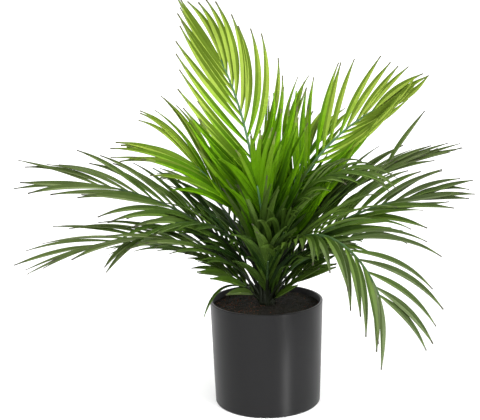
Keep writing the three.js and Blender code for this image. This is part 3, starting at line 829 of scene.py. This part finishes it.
# Where the grey neck and tip start along a blade
NECK_STARTS = 0.84
TIP_STARTS = 0.93
# Powers that shape a blade's outline from its root and towards its tip
ROOT_CURVE = 1.2
TIP_CURVE = 0.85
WIDTH_LUCK = (0.9, 1.12)
# Where a blade is narrower than half its full width, its keel fades away and it thins to a share
FADE_RATE = 4
THINNEST = 0.5


def width_share(along, crown):
    """Share of the full width: a narrow root, widest before the middle, and a drawn-out tip."""
    if along < crown.widest:
        swell = math.sin(math.pi / 2 * along / crown.widest) ** ROOT_CURVE
        return crown.root_share + (1 - crown.root_share) * swell
    fall = (along - crown.widest) / (1 - crown.widest)
    return max(crown.tip_share, max(0, math.cos(math.pi / 2 * fall)) ** TIP_CURVE)


def add_leaflet(draft, leaflet, frond, crown, chance):
    """One folded blade with a keel, in its finishes from root to tip."""
    line = leaflet_line(leaflet, crown.stations)
    twist = chance.within(crown.twist)
    # Each blade's tones are painted shade by its place in the crown, lifted by the frond's paler and
    # changed a little by luck.
    luck = frond["paler"] + chance.within(crown.tone_luck)
    tones = [tone_number(point, crown, luck) for point in line]
    width = frond["width"] * MM * chance.between(*WIDTH_LUCK)
    rings = []
    # lean tells which half of the blade faces up: that half gets painted light, the other half painted
    # shade.
    lean = 0
    for station, point in enumerate(line):
        along = station / crown.stations
        ahead = line[min(station + 1, crown.stations)]
        behind = line[max(station - 1, 0)]
        forward = (ahead - behind).normalized()
        across = leaflet["frame"]["normal"].cross(forward).normalized()
        above = forward.cross(across)
        turn = Matrix.Rotation(twist * along, 3, forward)
        across = turn @ across
        above = turn @ above
        lean += across.z
        half = width * width_share(along, crown) / 2
        rise = half * crown.fold
        middle = point * MM
        upper = [middle + across * (half * place) + above * (rise * abs(place)) for place in SECTION]
        fade = min(1, half * FADE_RATE / width)
        thickness = crown.thickness * (THINNEST + (1 - THINNEST) * fade)
        lower = []
        for place, corner in zip(reversed(SECTION), reversed(upper)):
            keel = crown.keel * fade if place == 0 else 0
            lower.append(corner - above * (thickness + keel))
        rings.append(upper + lower)
    count = len(SECTION)
    greys = leaflet["side"] != frond["plain_side"]

    def finish_of(row, column):
        along = row / crown.stations
        if greys and along >= NECK_STARTS and tones[row] >= FIRST_OPEN_TONE:
            return TIP_FINISH if along >= TIP_STARTS else NECK_FINISH
        if column >= count - 1:
            half = UNDERSIDE
        elif (column >= MIDDLE_CORNER) == (lean > 0):
            half = LIT_HALF
        else:
            half = SHADED_HALF
        return tones[row] * len(HALF_TINTS) + half

    def place_of(row, column):
        place = SECTION[column] if column < count else SECTION[2 * count - 1 - column]
        return (0.5 + 0.5 * place, row / crown.stations)

    draft.add_skin(rings, finish_of, place_of)


RIB_FINISH, STALK_FINISH = range(2)
# Powers that shape a rib's taper and the channel along it
RIB_TAPER = 0.8
CHANNEL_CURVE = 3
# How much thicker a stalk is at its foot, and the power with which it turns upright on its way down
STALK_SWELL = 0.12
STALK_BEND = 0.5
# Least slope that a stalk's steps are reckoned with
STALK_SLOPE = 0.5


def stalk_points(frond, line, crown):
    """Where the stalk of a frond runs from its foot in the filling up the stem to the rib's seat."""
    if frond["on_top"]:
        return []
    seat = line[0]
    direction = rib_direction(frond, 0)
    drop = seat.z - filling_high.z / MM
    points = []
    point = seat.copy()
    for step in range(crown.stalk_steps):
        share = (step + 1) / crown.stalk_steps
        steep = direction.lerp(Vector((0, 0, 1)), share ** STALK_BEND).normalized()
        point = point - steep * (drop / crown.stalk_steps / max(steep.z, STALK_SLOPE))
        points.append(point.copy())
    return list(reversed(points))


def add_rib(draft, frond, line, crown):
    """One rib with a shallow channel along its upper side, and its stalk down the stem."""
    stalk = stalk_points(frond, line, crown)
    rings = []
    for number, point in enumerate(stalk + line):
        step = number - len(stalk)
        along = max(step, 0) / RIB_STEPS
        place = rib_frame(frond, line, along)
        radius = crown.rib_base + (crown.rib_tip - crown.rib_base) * along ** RIB_TAPER
        if step < 0:
            radius *= 1 + STALK_SWELL * -step / len(stalk)
        ring = []
        for side in range(crown.rib_sides):
            angle = 2 * math.pi * side / crown.rib_sides
            channel = 1 - crown.rib_channel * max(0, math.sin(angle)) ** CHANNEL_CURVE
            out = place["across"] * math.cos(angle) + place["normal"] * (math.sin(angle) * channel)
            ring.append(point * MM + out * radius)
        rings.append(ring)
    stalk_rows = len(stalk) + round(RIB_STEPS * crown.stalk_share)
    draft.add_skin(rings, lambda row, column: STALK_FINISH if row < stalk_rows else RIB_FINISH)


def grown_fronds():
    """The crown's table with what most fronds have in common filled in, and each frond's rib line."""
    fronds = []
    for entry in CROWN:
        frond = {**USUAL_FROND, **entry}
        frond["line"] = rib_line(frond)
        fronds.append(frond)
    return fronds


# Operators

class PALM_OT_make_pot(bpy.types.Operator):
    """Turns the pot with its rounded foot and rim"""

    bl_idname = "palm.make_pot"
    bl_label = "Make the pot"

    # Where the outer wall has rings between its rounded edges, as shares of the height
    WALL_LEVELS = (0.1, 0.5, 0.9)

    def execute(self, context):
        pot = context.scene.palm.pot
        height = pot_high.z
        top = pot_high.x
        base = top * pot.base_share

        def outer(level):
            return base + (top - base) * level / height

        def rim(middle_radius, start):
            middle_height = height - pot.rim_round
            return arc(middle_radius, middle_height, pot.rim_round, start, start + 90, pot.arc_steps)

        profile = [(AXIS_RADIUS, 0)]
        profile += arc(base - pot.foot_round, pot.foot_round, pot.foot_round, -90, 0, pot.arc_steps)
        for level in (height * share for share in self.WALL_LEVELS):
            profile.append((outer(level), level))
        profile += rim(top - pot.rim_round, 0)
        profile += rim(top - pot.wall + pot.rim_round, 90)
        for level in (height / 2, pot.floor):
            profile.append((outer(level) - pot.wall, level))
        profile.append((AXIS_RADIUS, pot.floor))
        draft = Draft()
        draft.add_skin([round_ring(radius, level, pot.sides) for radius, level in profile])
        material = plastic_material(
            "pot_satin_plastic", pot.colour, pot.roughness, pot.gloss, brushing=pot.brushing)
        piece = draft.to_object("pot_shell", [material], sharp=math.radians(50))
        settle(piece, "pot_plastic", "pot")
        return {"FINISHED"}


class PALM_OT_make_filling(bpy.types.Operator):
    """Makes the bed of grains and the loose grains on it"""

    bl_idname = "palm.make_filling"
    bl_label = "Make the filling"

    # Radius of the level patch round the stem, and the bed's radius at the pot's floor as a share
    LEVEL_PATCH = 0.014
    FOOT_SHARE = 0.945
    # The bed's large and small lumps, each as a height, a fineness and a place in the noise
    LUMPS = ((1, 160, 0), (0.6, 420, 0.3))
    # What the bed lies lower for its lumps
    LUMP_MIDDLE = 0.3
    # Grains stay this far inside the pot's wall
    GRAIN_GAP = 0.0016
    STRETCH_LUCK = (0.6, 1.25)
    TURN_LUCK = 0.5
    # Redness from which a grain is brown or reddish, and what grains at the left have more of it. The brown
    # and reddish grains are the filling's own colours; that more lie at the left is partly painted light,
    # leaving the right as painted shade.
    BROWN_FROM = 0.72
    REDDISH_FROM = 0.97
    LEFT_REDNESS_AND_LIGHT = 0.25
    LEFT_EDGE = -0.01

    def bed_height(self, x, y, settings):
        """Height of the bed's surface, which rises a little to the middle."""
        edge = pot_high.z - settings.edge_depth
        level = filling_high.z
        slope_width = filling_high.x - self.LEVEL_PATCH
        away = min(max((math.hypot(x, y) - self.LEVEL_PATCH) / slope_width, 0), 1)
        lumps = sum(share * noise.noise(Vector((x, y, z)) * scale) for share, scale, z in self.LUMPS)
        return level + (edge - level) * away + settings.relief * (lumps - self.LUMP_MIDDLE)

    def make_bed(self, settings):
        """One skin from the pot's floor up the wall and over the uneven top."""
        low = filling_low.z
        foot = filling_high.x * self.FOOT_SHARE
        rings = [round_ring(radius, low, settings.spokes) for radius in (AXIS_RADIUS, foot)]
        for row in range(settings.rings + 1):
            radius = (filling_high.x - AXIS_RADIUS) * (1 - row / settings.rings) + AXIS_RADIUS
            ring = round_ring(radius, 0, settings.spokes)
            for point in ring:
                point.z = self.bed_height(point.x, point.y, settings)
            rings.append(ring)
        draft = Draft()
        draft.add_skin(rings)
        material = grain_material("filling_bed", settings.bed_colour, settings.roughness)
        return draft.to_object("filling_bed", [material])

    def make_grains(self, settings):
        """Small lumps of six corners, more of them brown or reddish towards the left, partly own colour and
        partly painted light.
        """
        chance = Seeded(settings.seed)
        draft = Draft()
        reach = filling_high.x - self.GRAIN_GAP
        growth = settings.grain_large - settings.grain_small
        for grain in range(settings.grains):
            away = reach * math.sqrt(chance.between(0, 1))
            centre = round_point(away, chance.between(0, 2 * math.pi), 0)
            centre.z = self.bed_height(centre.x, centre.y, settings)
            radius = settings.grain_small + growth * chance.between(0, 1) ** 2
            # More brown and reddish grains at the left: partly their own colour, partly painted light, with
            # painted shade at the right.
            redness_and_light = chance.between(0, 1) + (self.LEFT_REDNESS_AND_LIGHT if centre.x < self.LEFT_EDGE else 0)
            finish = (redness_and_light > self.BROWN_FROM) + (redness_and_light > self.REDDISH_FROM)
            start = len(draft.corners)
            for out in ((1, 0, 0), (0, 1, 0), (-1, 0, 0), (0, -1, 0), (0, 0, 1), (0, 0, -1)):
                stretch = Vector([chance.between(*self.STRETCH_LUCK) for axis in range(3)])
                turn = chance.within(self.TURN_LUCK)
                corner = Vector(out) + Vector((turn, -turn, turn / 2))
                draft.corners.append(centre + corner * stretch * radius)
                draft.places.append((0, 0))
            for side in range(4):
                beside = (side + 1) % 4
                draft.faces.append((start + side, start + beside, start + 4))
                draft.faces.append((start + beside, start + side, start + 5))
                draft.finishes += [finish, finish]
        finishes = (
            ("grain_dark", settings.dark_grains),
            ("grain_brown", settings.brown_grains),
            ("grain_reddish", settings.reddish_grains),
        )
        materials = [grain_material(name, colour, settings.roughness) for name, colour in finishes]
        return draft.to_object("filling_grains", materials, sharp=math.radians(20))

    def execute(self, context):
        settings = context.scene.palm.filling
        settle(self.make_bed(settings), "filling_grain", "filling")
        settle(self.make_grains(settings), "filling_grain")
        return {"FINISHED"}


class PALM_OT_make_stem(bpy.types.Operator):
    """Makes the short stem with its overlapping sheaths"""

    bl_idname = "palm.make_stem"
    bl_label = "Make the stem"

    # How much slimmer than its solid the stem is, and how far its foot reaches into the filling
    SLIMMER = 0.0006
    FOOT_DEPTH = 0.001
    # Radius at the top as a share of the foot's, and the power that shapes the taper
    TOP_SHARE = 0.72
    TAPER = 0.6
    # How many ridges the sheaths' edges wind past on their way up
    WINDING = 1.6

    def execute(self, context):
        settings = context.scene.palm.stem
        foot = stem_high.x - self.SLIMMER
        top = foot * self.TOP_SHARE
        low = filling_high.z - self.FOOT_DEPTH
        rings = []
        for row in range(settings.rows + 1):
            share = row / settings.rows
            height = low + (stem_high.z - low) * share
            radius = foot + (top - foot) * share ** self.TAPER
            ring = []
            for side in range(settings.sides):
                turn = side / settings.sides
                wrap = (turn * settings.ridges + share * self.WINDING) % 1
                out = radius - settings.ridge_depth * wrap ** 2
                ring.append(round_point(out, 2 * math.pi * turn, height))
            rings.append(ring)
        draft = Draft()
        draft.add_skin(rings)
        material = plastic_material(
            "stem_dull_plastic", settings.colour, settings.roughness, gloss=0.3, drift=0.4)
        piece = draft.to_object("stem_sheaths", [material], sharp=math.radians(40))
        settle(piece, "stem_plastic", "stem")
        return {"FINISHED"}


class PALM_OT_make_ribs(bpy.types.Operator):
    """Makes the rib of every frond, with its stalk down the stem"""

    bl_idname = "palm.make_ribs"
    bl_label = "Make the ribs"

    def execute(self, context):
        crown = context.scene.palm.crown
        for frond in grown_fronds():
            age = frond["age"]
            draft = Draft()
            add_rib(draft, frond, frond["line"], crown)
            materials = []
            for name, colour in ((f"{age}_rib", LEAF_COLOURS[age]["rib"]), ("stalk", crown.stalk)):
                made = bpy.data.materials.get(name) or plastic_material(
                    name, colour, crown.roughness, gloss=0.3, drift=0.3)
                materials.append(made)
            piece = draft.to_object(f"rib_{frond['name']}", materials)
            settle(piece, SLOT_OF_AGE[age], f"frond_{frond['name']}")
        return {"FINISHED"}


class PALM_OT_make_leaflets(bpy.types.Operator):
    """Makes the leaflets of every frond"""

    bl_idname = "palm.make_leaflets"
    bl_label = "Make the leaflets"

    # Sets the luck of a blade's looks apart from that of the growing rule
    SEED_STEP = 1000

    def execute(self, context):
        crown = context.scene.palm.crown
        for frond in grown_fronds():
            chance = Seeded(frond["seed"] + self.SEED_STEP)
            draft = Draft()
            leaflets = leaflets_of(frond, frond["line"])
            for leaflet in leaflets + infill_of(frond, frond["line"], leaflets, crown):
                add_leaflet(draft, leaflet, frond, crown, chance)
            materials = leaf_materials(frond["age"], crown.roughness)
            piece = draft.to_object(f"leaflets_{frond['name']}", materials, sharp=math.radians(35))
            settle(piece, SLOT_OF_AGE[frond["age"]], f"frond_{frond['name']}")
        return {"FINISHED"}


class PALM_OT_set_stage(bpy.types.Operator):
    """Sets the camera, the lights and the pale floor"""

    bl_idname = "palm.set_stage"
    bl_label = "Set the stage"

    # Width of the camera's sensor in millimetres
    SENSOR_WIDTH = 36
    FLOOR_SIDES = 64
    # Where the main light and the tall narrow light point
    CROWN_MIDDLE = (0, 0, 0.2)
    POT_MIDDLE = (0, 0, 0.06)
    # Width and height of the tall narrow light
    STRIP_SIZE = (0.2, 0.8)

    def make_floor(self, stage):
        """One wide round face on which the pot stands."""
        draft = Draft()
        draft.corners = round_ring(stage.floor_size, 0, self.FLOOR_SIDES)
        draft.places = [(0, 0)] * self.FLOOR_SIDES
        draft.faces = [tuple(range(self.FLOOR_SIDES))]
        draft.finishes = [0]
        material, _, shader = new_material("stage_floor")
        shader.inputs["Base Color"].default_value = (*stage.floor_colour, 1)
        shader.inputs["Roughness"].default_value = 1
        shader.inputs["Specular IOR Level"].default_value = 0
        shader.inputs["Emission Color"].default_value = (1, 1, 1, 1)
        shader.inputs["Emission Strength"].default_value = stage.floor_glow
        draft.to_object("stage_floor", [material])

    def make_camera(self, context, stage):
        """The camera at the photograph's viewing angle."""
        camera = bpy.data.objects.new("camera", bpy.data.cameras.new("camera"))
        camera.data.lens = stage.lens
        camera.data.sensor_width = self.SENSOR_WIDTH
        tilt = Matrix.Rotation(math.pi / 2 - stage.camera_pitch, 4, "X")
        roll = Matrix.Rotation(stage.camera_roll, 4, "Z")
        camera.matrix_world = Matrix.Translation(stage.camera_place) @ tilt @ roll
        context.scene.collection.objects.link(camera)
        context.scene.camera = camera

    def add_light(self, context, kind, place, target, **values):
        """A light at a place, turned towards its target."""
        light = bpy.data.lights.new(kind.lower(), kind)
        for name, value in values.items():
            setattr(light, name, value)
        made = bpy.data.objects.new(f"light_{kind.lower()}", light)
        made.location = place
        made.rotation_euler = (Vector(target) - Vector(place)).to_track_quat("-Z", "Y").to_euler()
        context.scene.collection.objects.link(made)

    def execute(self, context):
        stage = context.scene.palm.stage
        self.make_floor(stage)
        self.make_camera(context, stage)
        self.add_light(
            context, "SUN", stage.key_place, self.CROWN_MIDDLE,
            energy=stage.key, angle=math.radians(50))
        width, height = self.STRIP_SIZE
        self.add_light(
            context, "AREA", stage.strip_place, self.POT_MIDDLE,
            energy=stage.strip, shape="RECTANGLE", size=width, size_y=height, spread=math.radians(16))
        world = bpy.data.worlds.new("stage_sky")
        world.use_nodes = True
        world.node_tree.nodes["Background"].inputs["Color"].default_value = (1, 1, 1, 1)
        world.node_tree.nodes["Background"].inputs["Strength"].default_value = stage.sky
        context.scene.world = world
        context.scene.view_settings.view_transform = "Standard"
        return {"FINISHED"}


class PALM_PT_builder(bpy.types.Panel):
    """Lists the steps that build the palm"""

    bl_label = "Potted areca palm"
    bl_idname = "PALM_PT_builder"
    bl_space_type = "VIEW_3D"
    bl_region_type = "UI"
    bl_category = "Palm"

    def draw(self, context):
        for step in STEPS:
            self.layout.operator(step.bl_idname)


STEPS = (
    PALM_OT_set_stage, PALM_OT_make_pot, PALM_OT_make_filling, PALM_OT_make_stem,
    PALM_OT_make_ribs, PALM_OT_make_leaflets,
)
CLASSES = (
    PotSettings, FillingSettings, StemSettings, CrownSettings, StageSettings, PalmSettings,
    *STEPS, PALM_PT_builder,
)


def register():
    for entry in CLASSES:
        bpy.utils.register_class(entry)
    bpy.types.Scene.palm = PointerProperty(type=PalmSettings)


def unregister():
    del bpy.types.Scene.palm
    for entry in reversed(CLASSES):
        bpy.utils.unregister_class(entry)


def main():
    register()
    bpy.ops.palm.set_stage()
    bpy.ops.palm.make_pot()
    bpy.ops.palm.make_filling()
    bpy.ops.palm.make_stem()
    bpy.ops.palm.make_ribs()
    bpy.ops.palm.make_leaflets()


if __name__ == "__main__":
    main()
